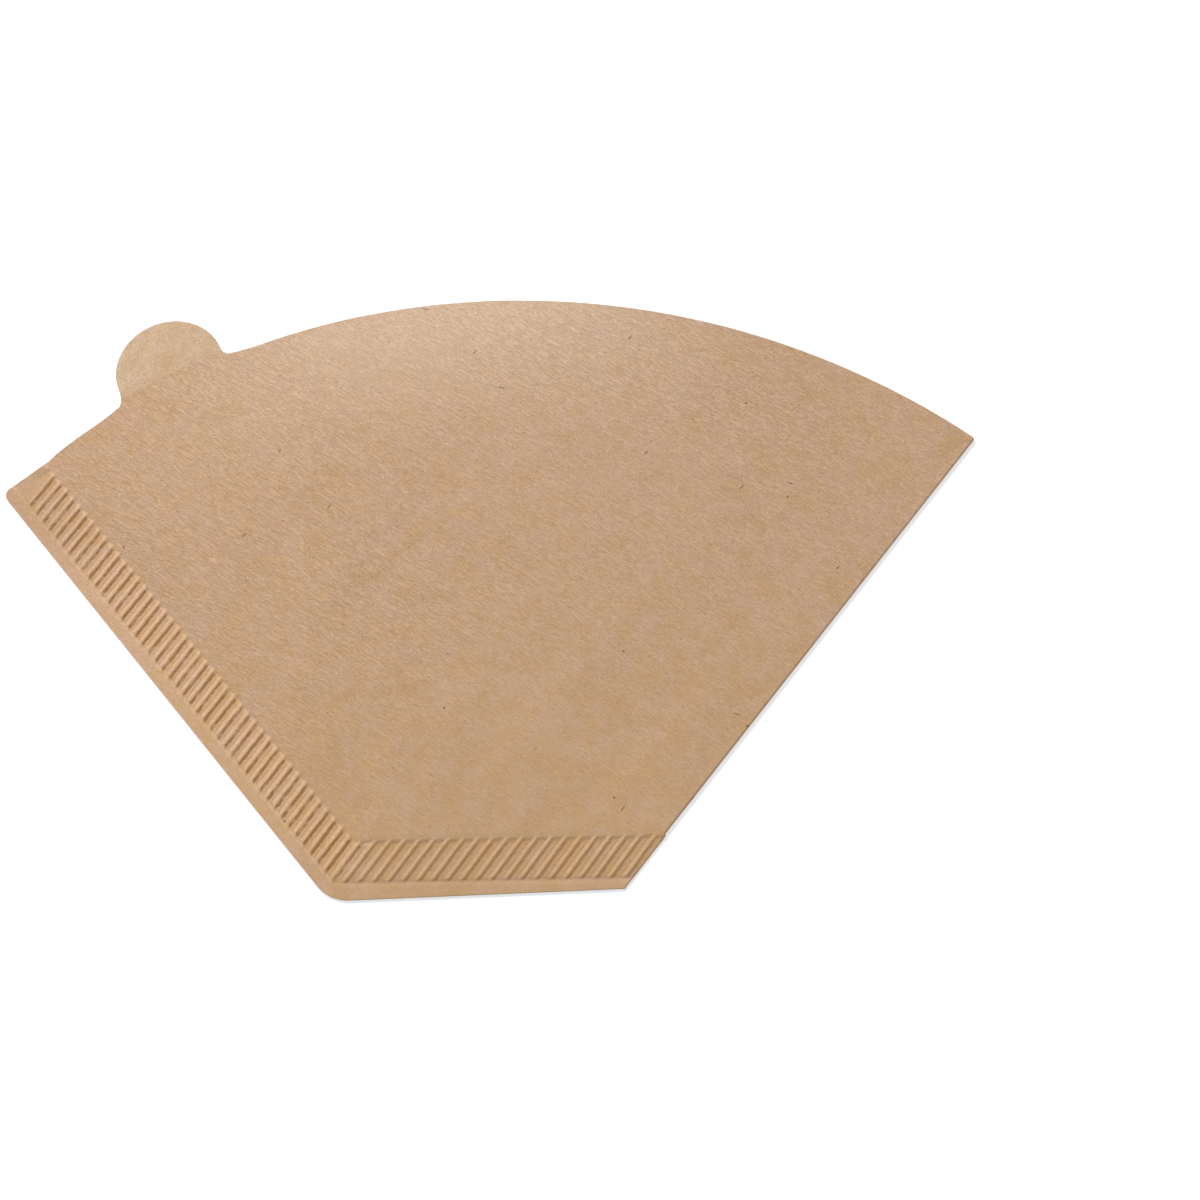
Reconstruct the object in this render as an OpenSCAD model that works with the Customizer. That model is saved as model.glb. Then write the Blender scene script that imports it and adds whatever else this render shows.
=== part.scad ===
// Cone coffee filter of creped brown paper, folded flat as it comes from its pack.
// One sheet is folded at the right edge. Its two walls are crimped together along the
// left edge and the foot, and a round pull tab grows out of the back wall's mouth edge.
// It lies on its back wall, foot towards -Y and mouth towards +Y.

/* [Sheet] */
// Radius of the mouth edge about the point where the two side edges would meet
mouth_r = 130; // [115:1:150]
// Slope of both side edges against the foot, in degrees
side_angle = 52; // [49:0.5:56]
// Length of the foot, as if its crimped corner were sharp
foot_w = 45.5; // [38:0.5:56]
// Radius of the corner where the crimped side meets the foot
corner_r = 6.5; // [3:0.5:9]
// Radius of the left tip
tip_r = 1.4; // [0.8:0.1:2]
// Thickness of one wall
paper_t = 0.2; // [0.15:0.01:0.3]

/* [Mouth] */
// How far the front wall springs open at the widest part of the mouth
gape = 6; // [5:0.1:10]
// Where the mouth gapes most: 1 is midway, less is nearer the crimped side
gape_lean = 0.8; // [0.5:0.02:1]
// How the front wall leaves the crimp and the fold: less is crisper, more is softer
gape_edge = 0.9; // [0.8:0.05:1.6]
// How the front wall lifts from the foot: 1 is straight, more starts more gently
gape_rise = 1.2; // [1:0.05:1.8]
// How far the front wall's mouth edge lies back from the back wall's
front_short = 0.1; // [0.05:0.05:1]
// Slack between the two walls where they leave a crimp or the fold
slack = 0.36; // [0.3:0.02:0.6]
// Length over which the front wall steps up beside a crimp
step_w = 0.4; // [0.3:0.05:0.8]

/* [Crimps] */
// Plain margin outside the crimps
margin_w = 2.1; // [1.5:0.1:3.5]
// Width of the crimped band
crimp_w = 6.25; // [4:0.25:8]
// Distance from one crimp stroke to the next
crimp_pitch = 1.875; // [1.7:0.025:2.5]
// Direction of the strokes against the foot, in degrees
crimp_angle = 54; // [50:1:66]
// Height of the strokes above the pressed channels between them
crimp_h = 0.32; // [0.2:0.01:0.5]
// Width of a stroke's crest along the side
side_crest = 0.45; // [0.25:0.05:0.7]
// Width of a stroke's crest along the foot
foot_crest = 0.25; // [0.15:0.05:0.6]
// Width of each flank of a stroke
flank_w = 0.26; // [0.15:0.01:0.35]
// Length over which a stroke runs out at its end
run_out = 0.7; // [0.3:0.1:1.2]
// Plain length between the last stroke and the mouth edge
mouth_plain = 2; // [1:0.25:6]
// Turn of the foot's crimped band against the foot edge, in degrees
foot_turn = 1.5; // [0:0.25:2]

/* [Pull tab] */
// Radius of the tab
tab_r = 9.2; // [6:0.2:12]
// How far the tab's centre lies beyond the mouth edge
tab_out = 5.4; // [2:0.2:7]
// Place of the tab, in degrees from the middle of the mouth towards the crimped side
tab_turn = 23.1; // [8:0.1:25]
// Radius in the two corners at the tab's root
tab_root_r = 6.3; // [3:0.1:8]
// How far the front wall's edge stands out where it is cut across the tab's neck
neck_out = 1.6; // [0.5:0.1:2.5]

/* [Hidden] */
$fn = 360;

half_angle = 90 - side_angle;
apex = [0, -foot_w / 2 * tan(side_angle)];
crimp_corner = [-foot_w / 2, 0];
fold_corner = [foot_w / 2, 0];

// Inward normals of the crimped side, the foot's band and the fold
side_n = [sin(side_angle), cos(side_angle)];
foot_n = [sin(foot_turn), cos(foot_turn)];
fold_n = [-sin(side_angle), cos(side_angle)];

// Inner edge of the crimped band, where the front wall is fully up beside it, and the fold
band_in = margin_w + crimp_w;
wall_in = band_in + step_w;
closed_h = 2 * paper_t + slack;
fold_r = closed_h / 2;

// Overlap of the turned wall on the back wall, how far a piece's root starts inside what
// it grows out of, and the tightest radius inside the fold
lap_w = 1;
root_sink = 0.05;
crease_r = 0.02;

// A length that is beyond the sheet from anywhere on it
far = 2 * mouth_r;

tab_c = apex + (mouth_r + tab_out) * [-sin(tab_turn), cos(tab_turn)];
top_y = max(apex.y + mouth_r, tab_c.y + tab_r);

// Stroke axes: along a stroke, and across the strokes from the fold towards the left tip.
// The first stroke stands this many pitches from the corner at the fold.
stroke_start = 0.55;
stroke_a = [cos(crimp_angle), sin(crimp_angle)];
stroke_q = [-sin(crimp_angle), cos(crimp_angle)];
corner_q = (crimp_corner - fold_corner) * stroke_q;
tip_q = (at_mouth(-half_angle) - fold_corner) * stroke_q;
stroke_n = floor(tip_q / crimp_pitch);

// Widest turn between two columns of the front wall, in degrees, and its facets along,
// round the fold, and round each small corner
column_turn = 1.9;
along_n = 14;
bend_n = 5;
corner_n = 8;

function at_mouth(turn, short = 0) = apex + (mouth_r - short) * [sin(turn), cos(turn)];
function mix(a, b, t) = a + (b - a) * t;
function raise(p, z) = [p.x, p.y, z];
function arc(c, r, from, to, n) =
    [for (i = [0:n]) c + r * [cos(mix(from, to, i / n)), sin(mix(from, to, i / n))]];

// Point that lies at distance da and db inside two lines with the given normals
function meet(na, da, nb, db) =
    [da * nb.y - db * na.y, db * na.x - da * nb.x] / (na.x * nb.y - na.y * nb.x);
function side_d(inset) = inset + side_n * crimp_corner;
function fold_d(inset) = inset + fold_n * fold_corner;

// Sheet outline, with the mouth as a true arc

module wedge() {
    tangent = corner_r * tan(side_angle / 2);
    up = [cos(side_angle), sin(side_angle)];
    round_c = crimp_corner + [tangent, corner_r];
    polygon(concat(
        [fold_corner, fold_corner + far * up, crimp_corner + far * [-up.x, up.y]],
        arc(round_c, corner_r, 270 - side_angle, 270, corner_n)
    ));
}

// What is cut off to round the left tip
module tip_cut() {
    reach = mouth_r - tip_r;
    turn = asin(tip_r / reach) - half_angle;
    c = apex + reach * [sin(turn), cos(turn)];
    from = 90 - turn;
    step = (180 + half_angle - from) / corner_n;
    // Direction along the rounding at angle a, and the corners of the facets round it
    function along(a) = [-sin(a), cos(a)];
    corners = [for (i = [1:corner_n - 1])
        c + tip_r / cos(step / 2) * [cos(from + i * step), sin(from + i * step)]];
    polygon(concat(
        [corners[0] - 2 * tip_r * along(from + step / 2)],
        corners,
        [corners[corner_n - 2] + 2 * tip_r * along(from + (corner_n - 0.5) * step),
         c + 3 * tip_r * [cos(from + corner_n / 2 * step), sin(from + corner_n / 2 * step)]]
    ));
}

module sheet_outline() {
    difference() {
        intersection() {
            wedge();
            translate(apex) circle(mouth_r);
        }
        tip_cut();
    }
}

// Everything further than the given distances inside the crimped edges and the fold
module inside(edge_inset, fold_inset) {
    a = meet(side_n, side_d(edge_inset), foot_n, edge_inset);
    b = meet(foot_n, edge_inset, fold_n, fold_d(fold_inset));
    polygon([a, b, b + far * [cos(side_angle), sin(side_angle)],
             a + far * [-cos(side_angle), sin(side_angle)]]);
}

// Pull tab: a disc with a small radius where it grows out of the mouth edge

module tab_root(side) {
    reach = mouth_r + tab_root_r - root_sink;
    out = mouth_r + tab_out;
    span = tab_r + tab_root_r - root_sink;
    turn = acos((reach * reach + out * out - span * span) / (2 * reach * out));
    c = apex + reach * [sin(side * turn - tab_turn), cos(side * turn - tab_turn)];
    to_tab = atan2(tab_c.y - c.y, tab_c.x - c.x);
    to_apex = atan2(apex.y - c.y, apex.x - c.x);
    sweep = (to_apex - to_tab + 540) % 360 - 180;
    polygon(concat([mix(tab_c, apex, tab_out / out)],
                   arc(c, tab_root_r, to_tab, to_tab + sweep, corner_n)));
}

module tab_outline() {
    translate(tab_c) circle(tab_r);
    tab_root(-1);
    tab_root(1);
}

// Back wall, flat, with the tab

module back_wall() {
    linear_extrude(paper_t) {
        intersection() {
            sheet_outline();
            inside(band_in, fold_r + lap_w / 2);
        }
        tab_outline();
    }
}

// Both walls pressed together along the crimped edges

module pressed_walls() {
    linear_extrude(2 * paper_t)
        difference() {
            sheet_outline();
            inside(wall_in, -1);
        }
}

// Crimp strokes: low ridges with sloped flanks, all parallel, cut off along the band

// Distance along a stroke at which it lies the given inset inside the crimped edges
function reach(q, inset) =
    let (p = fold_corner + q * stroke_q)
    max((side_d(inset) - side_n * p) / (side_n * stroke_a),
        (inset - foot_n * p) / (foot_n * stroke_a));

function stroke_ring(q, crest, drop, from, to, ends) =
    let (half = crest / 2 + flank_w * drop,
         a = from - ends[0] * (drop - 1),
         b = to + ends[1] * (drop - 1))
    [for (c = [[-1, a], [1, a], [1, b], [-1, b]])
        let (cq = q + c[0] * half)
        fold_corner + cq * stroke_q + reach(cq, c[1]) * stroke_a];

module stroke(q, top, from, to, ends) {
    crest = q < corner_q ? foot_crest : side_crest;
    skirt = 1 + paper_t / crimp_h;
    low = [for (p = stroke_ring(q, crest, skirt, from, to, ends))
        raise(p, top - crimp_h * skirt)];
    high = [for (p = stroke_ring(q, crest, 0, from, to, ends)) raise(p, top)];
    polyhedron(concat(low, high),
        [[3, 2, 1, 0], [4, 5, 6, 7], [1, 5, 4, 0], [2, 6, 5, 1], [3, 7, 6, 2], [0, 4, 7, 3]]);
}

module strokes(top, to, ends) {
    for (i = [0:stroke_n]) {
        q = (i + stroke_start) * crimp_pitch;
        inner = fold_corner + q * stroke_q + reach(q, band_in) * stroke_a;
        if (norm(inner - apex) < mouth_r - mouth_plain)
            stroke(q, top, margin_w, to, ends);
    }
}

// The strokes stand up from the pressed walls and are hollow from behind
module crimped_edge() {
    difference() {
        union() {
            pressed_walls();
            strokes(2 * paper_t + crimp_h, wall_in + step_w / 2, [run_out, 0]);
        }
        strokes(crimp_h, band_in - step_w, [run_out, run_out]);
    }
}

// Front wall: springs open towards the mouth and turns round the fold onto the back wall

function lift(u, w) =
    gape * pow(sin(180 * pow(u, gape_lean)), gape_edge) * pow(w, gape_rise);

// How far the front wall's edge stands out by the tab. It runs straight across the neck and
// falls back beside it: distances from the tab's middle, with their shares of neck_out.
neck_steps = [[tab_r - 0.1, 1], [tab_r + 0.7, 0.38], [tab_r + 2.4, 0.19], [tab_r + 5.5, 0]];
function neck(turn) = neck_out * lookup(abs(turn + tab_turn) * mouth_r * PI / 180, neck_steps);

// Turn of every column on the mouth edge, with the neck's steps among them
function mouth_turn(inset) = asin(inset / (mouth_r - front_short));
first_turn = mouth_turn(wall_in) - half_angle;
last_turn = half_angle - mouth_turn(fold_r);
step_turns = [for (s = neck_steps) s[0] / mouth_r * 180 / PI];
knots = concat(
    [first_turn],
    [for (i = [len(step_turns) - 1:-1:0]) -tab_turn - step_turns[i]],
    [for (t = step_turns) t - tab_turn],
    [last_turn]
);
turns = concat([first_turn], [for (k = [1:len(knots) - 1])
    let (n = max(1, round((knots[k] - knots[k - 1]) / column_turn)))
    for (i = [1:n]) mix(knots[k - 1], knots[k], i / n)]);
across_n = len(turns) - 1;

// Column i from the crimped side to the fold: its foot point, mouth point and share across
function column(i) =
    let (last = meet(foot_n, band_in, fold_n, fold_d(fold_r)),
         first = meet(side_n, side_d(wall_in), foot_n, band_in),
         turn = turns[max(i - 1, 0)],
         u = (turn - first_turn) / (last_turn - first_turn))
    i == 0
    ? [meet(side_n, side_d(band_in), foot_n, band_in),
       at_mouth(mouth_turn(band_in) - half_angle, front_short), 0]
    : [mix(first, last, u), at_mouth(turn, front_short - neck(turn)), u];

// Share of the way up a column for row j: row 0 on the crimp, row 1 one step inside it
function row_at(col, j) =
    let (t = step_w / (foot_n * (col[1] - col[0])))
    j == 0 ? 0 : mix(t, 1, (j - 1) / along_n);

// One row of the wall's outer face (face = 1) or inner face (face = 0)
function wall_row(j, face) =
    let (starts = 2 * paper_t - root_sink,
         last = column(across_n + 1),
         p = mix(last[0], last[1], row_at(last, j)),
         r = (j == 0 ? starts : closed_h) / 2,
         bend = face == 1 ? r : max(r - paper_t, crease_r))
    concat(
        [for (i = [0:across_n])
            let (c = column(i),
                 z = i == 0 || j == 0 ? starts : closed_h + lift(c[2], (j - 1) / along_n))
            raise(mix(c[0], c[1], row_at(c, j)), z - (1 - face) * paper_t)],
        [for (k = [0:bend_n])
            let (a = 180 * k / bend_n)
            raise(p - fold_n * bend * sin(a), r + bend * cos(a))],
        [raise(p + fold_n * lap_w, r - bend)]
    );

module front_wall() {
    outer = [for (j = [0:along_n + 1]) wall_row(j, 1)];
    inner = [for (j = [0:along_n + 1]) wall_row(j, 0)];
    sheet(outer, inner);
}

// Closed solid between two grids of points that have the same number of rows and columns
module sheet(outer, inner) {
    rows = len(outer);
    cols = len(outer[0]);
    function at(face, j, i) = (face * rows + j) * cols + i;
    function quad(a, b, c, d) = [[a, b, c], [a, c, d]];
    points = [for (face = [outer, inner]) for (row = face) for (p = row) p];
    skin = [for (j = [0:rows - 2]) for (i = [0:cols - 2]) for (t = concat(
        quad(at(0, j, i), at(0, j + 1, i), at(0, j + 1, i + 1), at(0, j, i + 1)),
        quad(at(1, j, i), at(1, j, i + 1), at(1, j + 1, i + 1), at(1, j + 1, i)))) t];
    ends = [for (i = [0:cols - 2]) for (t = concat(
        quad(at(0, 0, i), at(0, 0, i + 1), at(1, 0, i + 1), at(1, 0, i)),
        quad(at(0, rows - 1, i), at(1, rows - 1, i),
             at(1, rows - 1, i + 1), at(0, rows - 1, i + 1)))) t];
    sides = [for (j = [0:rows - 2]) for (t = concat(
        quad(at(0, j, 0), at(1, j, 0), at(1, j + 1, 0), at(0, j + 1, 0)),
        quad(at(0, j, cols - 1), at(0, j + 1, cols - 1),
             at(1, j + 1, cols - 1), at(1, j, cols - 1)))) t];
    polyhedron(points, concat(skin, ends, sides));
}

module filter() {
    color([0.77, 0.64, 0.51])
        translate([0, -top_y / 2, 0]) {
            // What lies flat is joined first, which makes a build much quicker
            union() {
                back_wall();
                crimped_edge();
            }
            front_wall();
        }
}

filter();
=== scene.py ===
"""Looks of a cone coffee filter of creped brown paper, folded flat.

The filter is one sheet: its front and back walls meet in a fold at the right, and are
crimped together along the left side and the foot. The mesh follows that sheet. One grid
covers both walls and runs round the fold, a second one covers the flange that carries the
crimps, a third is the pull tab, and the joined surface is then given the paper's thickness.
"""

import logging
import math
from dataclasses import dataclass, field
from enum import Enum
from typing import Callable, Optional, Sequence, TypeVar, Union

import bmesh
import bpy
from mathutils import Matrix, Vector, noise
from numpy import interp


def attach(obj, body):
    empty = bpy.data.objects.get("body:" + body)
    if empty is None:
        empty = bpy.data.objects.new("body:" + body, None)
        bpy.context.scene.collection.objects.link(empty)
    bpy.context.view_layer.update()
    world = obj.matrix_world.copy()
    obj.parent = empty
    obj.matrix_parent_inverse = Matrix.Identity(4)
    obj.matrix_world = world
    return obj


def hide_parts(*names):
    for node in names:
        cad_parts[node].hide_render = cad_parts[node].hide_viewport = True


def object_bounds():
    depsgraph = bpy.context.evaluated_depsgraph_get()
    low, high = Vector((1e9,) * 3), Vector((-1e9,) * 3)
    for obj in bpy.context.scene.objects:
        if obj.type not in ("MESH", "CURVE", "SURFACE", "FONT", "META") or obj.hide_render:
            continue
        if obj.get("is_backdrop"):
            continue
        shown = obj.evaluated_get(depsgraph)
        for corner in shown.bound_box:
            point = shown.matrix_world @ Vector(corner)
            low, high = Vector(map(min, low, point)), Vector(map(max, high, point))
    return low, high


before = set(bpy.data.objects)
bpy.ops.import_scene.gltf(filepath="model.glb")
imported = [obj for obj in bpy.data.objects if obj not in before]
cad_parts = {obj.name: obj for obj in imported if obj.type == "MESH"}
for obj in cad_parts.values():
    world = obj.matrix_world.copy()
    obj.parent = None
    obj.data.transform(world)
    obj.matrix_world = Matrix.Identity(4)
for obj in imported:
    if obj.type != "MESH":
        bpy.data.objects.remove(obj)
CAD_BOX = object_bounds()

LOG = logging.getLogger("coffee_filter")
MM = 0.001

Number = Union[int, float]
Colour = tuple[float, float, float]
Socket = bpy.types.NodeSocket
Tint = Union[Colour, Socket]
Place = Callable[[float, float], Vector]
Blendable = TypeVar("Blendable", float, Vector)
Operand = Union["Maths", int, float]
Paint = tuple[Socket, "Maths", "Maths"]


def mix(a: Blendable, b: Blendable, share: float) -> Blendable:
    """Value or vector that lies the given share of the way from a to b."""
    return a + (b - a) * share


def clamp(value: float) -> float:
    """Value held between 0 and 1."""
    return min(1.0, max(0.0, value))


def smooth(value: float) -> float:
    """Smooth step from 0 to 1, for a value that is clamped first."""
    value = clamp(value)
    return value * value * (3 - 2 * value)


def heading(degrees: float) -> Vector:
    """Unit vector in the plan, counted anticlockwise from +X."""
    turn = math.radians(degrees)
    return Vector((math.cos(turn), math.sin(turn)))


def add_object(name: str, data: bpy.types.ID) -> bpy.types.Object:
    """Makes an object and adds it to the scene.

    Args:
        name: the object's name.
        data: its mesh, lamp or camera.

    Returns:
        The new object.
    """
    made = bpy.data.objects.new(name, data)
    bpy.context.scene.collection.objects.link(made)
    return made


class Wall(Enum):
    """The two walls of the folded sheet."""

    FRONT = "front"
    BACK = "back"


class PaperFace(Enum):
    """Material slots of the sheet, in their order on the mesh."""

    OUTSIDE = 0
    INSIDE = 1
    CUT = 2


@dataclass
class Outline:
    """Plan of the folded sheet. Its origin is the middle of the foot, mouth towards +Y.

    An inset is a distance inwards from the crimped edges, and a station is the distance of
    a crimp stroke's line from the corner at the fold, counted towards the left tip.
    """

    mouth_r: float = 130 * MM
    side_angle: float = 52.0
    foot_w: float = 45.5 * MM
    corner_r: float = 6.5 * MM
    foot_turn: float = 1.5
    tip_r: float = 1.4 * MM
    stroke_angle: float = 54.0

    def __post_init__(self) -> None:
        """Works out the plan's corners and directions from its sizes."""
        # The apex is where the two side edges would meet, and the corners are sharp
        self.half_angle = 90 - self.side_angle
        self.apex = Vector((0, -self.foot_w / 2 * math.tan(math.radians(self.side_angle))))
        self.crimp_corner = Vector((-self.foot_w / 2, 0))
        self.fold_corner = Vector((self.foot_w / 2, 0))
        # Inwards across the crimped side, the foot's band and the fold
        self.side_in = heading(90 - self.side_angle)
        self.foot_in = heading(90 - self.foot_turn)
        self.fold_in = heading(90 + self.side_angle)
        # Inwards along every crimp stroke, and the way in which stations are counted
        self.along = heading(self.stroke_angle)
        self.across = heading(self.stroke_angle + 90)

    def at_mouth(self, turn: float, beyond: float = 0.0) -> Vector:
        """Point of the mouth edge or beyond it, turned from the middle towards the fold."""
        return self.apex + (self.mouth_r + beyond) * heading(90 - turn)

    def mouth_turn(self, inset: float) -> float:
        """Angle on the mouth edge that lies the given distance inside a side edge."""
        return math.degrees(math.asin(inset / self.mouth_r))

    def station_of(self, point: Vector) -> float:
        """Station of a point of the plan."""
        return (point - self.fold_corner).dot(self.across)

    @staticmethod
    def meet(normal_a: Vector, at_a: float, normal_b: Vector, at_b: float) -> Vector:
        """Finds the point where two lines cross.

        Args:
            normal_a: unit vector across the first line.
            at_a: how far along it that line lies from the origin.
            normal_b: unit vector across the second line.
            at_b: how far along it that line lies from the origin.

        Returns:
            The point in the plan.
        """
        cross = normal_a.x * normal_b.y - normal_a.y * normal_b.x
        return Vector((at_a * normal_b.y - at_b * normal_a.y,
                       at_b * normal_a.x - at_a * normal_b.x)) / cross

    def side_corner(self, inset: float) -> Vector:
        """Corner between the side's and the foot's line at one inset."""
        return self.meet(self.side_in, inset + self.side_in.dot(self.crimp_corner),
                         self.foot_in, inset)

    def fold_point(self, foot_inset: float, fold_inset: float) -> Vector:
        """Point at one inset from the foot's edge and another from the fold."""
        return self.meet(self.foot_in, foot_inset,
                         self.fold_in, fold_inset + self.fold_in.dot(self.fold_corner))

    def on_line(self, station: float, inset: float) -> Vector:
        """Point on a stroke's line at the given inset from the crimped edges.

        Args:
            station: which line.
            inset: distance inwards; at 0 the rounded corner is followed.

        Returns:
            The point in the plan.
        """
        start = self.fold_corner + station * self.across
        side = (inset + self.side_in.dot(self.crimp_corner - start)) / self.side_in.dot(self.along)
        foot = (inset - self.foot_in.dot(start)) / self.foot_in.dot(self.along)
        if inset == 0:
            foot = -start.y / self.along.y
            return start + max(side, foot, self._on_corner(start)) * self.along
        return start + max(side, foot) * self.along

    def round_tip(self, point: Vector) -> Vector:
        """Draws a place inwards where the left tip is rounded.

        Args:
            point: a place inside the tip as if it were sharp.

        Returns:
            The place in the rounded plan.
        """
        aside = self.side_in.dot(point - self.crimp_corner)
        below = self.mouth_r - (point - self.apex).length
        if max(aside, below) >= self.tip_r:
            return point
        x, y = clamp(1 - aside / self.tip_r), clamp(1 - below / self.tip_r)
        aside = self.tip_r * (1 - x * math.sqrt(1 - y * y / 2))
        below = self.tip_r * (1 - y * math.sqrt(1 - x * x / 2))
        turn = math.degrees(math.asin(aside / (self.mouth_r - below))) - self.half_angle
        return self.at_mouth(turn, -below)

    def _on_corner(self, start: Vector) -> float:
        """Finds where a stroke's line enters the rounded corner.

        Args:
            start: the point of the line from which distances along it are counted.

        Returns:
            How far along the line that is, or a very low number if it passes the corner.
        """
        tangent = self.corner_r * math.tan(math.radians(self.side_angle / 2))
        centre = self.crimp_corner + Vector((tangent, self.corner_r))
        nearest = (centre - start).dot(self.along)
        aside = (centre - start).dot(self.across)
        if abs(aside) >= self.corner_r:
            return -self.mouth_r
        entry = nearest - math.sqrt(self.corner_r ** 2 - aside ** 2)
        point = start + entry * self.along - centre
        turn = math.degrees(math.atan2(point.y, point.x)) % 360
        return entry if 270 - self.side_angle <= turn <= 270 else -self.mouth_r


@dataclass
class Crimps:
    """The pressed flange along the side and the foot, with its slanting strokes.

    The first stroke's axis lies start pitches from the corner at the fold. The channels
    between the strokes are sunk by a share of the strokes' height.
    """

    plan: Outline
    margin_w: float = 2.1 * MM
    band_w: float = 6.25 * MM
    step_w: float = 0.8 * MM
    pitch: float = 1.875 * MM
    start: float = 0.55
    height: float = 0.25 * MM
    sunk: float = 0.8
    side_crest: float = 0.45 * MM
    foot_crest: float = 0.35 * MM
    flank_w: float = 0.26 * MM
    run_out: float = 0.7 * MM
    mouth_plain: float = 2 * MM

    def __post_init__(self) -> None:
        """Works out the insets of the band's inner edge and of the wall beside it, and
        counts the strokes that end far enough from the mouth edge."""
        self.band_in = self.margin_w + self.band_w
        self.wall_in = self.band_in + self.step_w
        self.count = 0
        while (self.plan.on_line((self.count + self.start) * self.pitch, self.band_in)
               - self.plan.apex).length < self.plan.mouth_r - self.mouth_plain:
            self.count += 1

    def relief(self, point: Vector, inset: float, inner_end: Optional[float] = None) -> float:
        """How far the paper stands up from the pressed flange, from 0 to 1.

        Args:
            point: place in the plan.
            inset: the place's distance from the crimped edges.
            inner_end: inset at which the strokes run out again, if they do.

        Returns:
            1 on a stroke's crest, less in the channels, and 0 outside the band.
        """
        station = self.plan.station_of(point)
        number = round(station / self.pitch - self.start)
        if not 0 <= number < self.count:
            return 0.0
        axis = (number + self.start) * self.pitch
        on_foot = axis < self.plan.station_of(self.plan.crimp_corner)
        crest = self.foot_crest if on_foot else self.side_crest
        rise = (crest / 2 + self.flank_w - abs(station - axis)) / self.flank_w
        ends = (inset - self.margin_w) / self.run_out
        if inner_end is not None:
            ends = min(ends, (inner_end - inset) / self.run_out)
        channel = (1 - self.sunk) * smooth(ends)
        return mix(channel, 1.0, smooth(rise)) * smooth(ends)


@dataclass(frozen=True)
class Mouth:
    """How the front wall springs open, and the waves that are left in it.

    Lean, edge and rise are the powers that shape the open wall. A fade is how steeply
    waves grow from an edge of the wall, and the pull is the crimps' on the lower wall.
    """

    gape: float = 6 * MM
    lean: float = 0.8
    edge: float = 0.9
    rise: float = 1.2
    wave: float = 0.13 * MM
    wave_size: float = 17 * MM
    finer: float = 2.1
    finer_share: float = 0.5
    side_fade: float = 4.0
    foot_fade: float = 3.0
    pull: float = 0.12 * MM
    pull_size: tuple[float, float] = (34 * MM, 6.5 * MM)
    pull_side_fade: float = 8.0
    pull_foot_fade: float = 12.0
    pull_mouth_fade: float = 1.9

    def lift(self, share: float, up: float) -> float:
        """Height of the front wall above its closed place.

        Args:
            share: place across the wall, 0 at the crimped side and 1 at the fold.
            up: place along the wall, 0 at the foot and 1 at the mouth.

        Returns:
            The height in metres.
        """
        share, up = clamp(share), clamp(up)
        hump = math.sin(math.pi * share ** self.lean) if share < 1 else 0.0
        return self.gape * max(hump, 0.0) ** self.edge * up ** self.rise

    @staticmethod
    def _within(share: float, fade: float) -> float:
        """Weight that grows from 0 at both sides of the wall."""
        return smooth(fade * share) * smooth(fade * (1 - share))

    def waves(self, point: Vector, share: float, up: float, plan: Outline) -> float:
        """Slight unevenness of the free part of the front wall.

        Args:
            point: place in the plan.
            share: place across the wall, from 0 to 1.
            up: place up the wall, from 0 to 1.
            plan: the outline, whose strokes pull the lower wall into folds.

        Returns:
            The height in metres, added to the wall's own.
        """
        free = self._within(share, self.side_fade) * smooth(self.foot_fade * up)
        at = Vector((point.x, point.y, 0)) / self.wave_size
        broad = self.wave * free * (
            noise.noise(at) + self.finer_share * noise.noise(at * self.finer))
        low = (self._within(share, self.pull_side_fade) * smooth(self.pull_foot_fade * up)
               * smooth(self.pull_mouth_fade * (1 - up)))
        pulled = Vector((point.dot(plan.along) / self.pull_size[0],
                         point.dot(plan.across) / self.pull_size[1], 0.5))
        return broad + self.pull * low * noise.noise(pulled)


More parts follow.
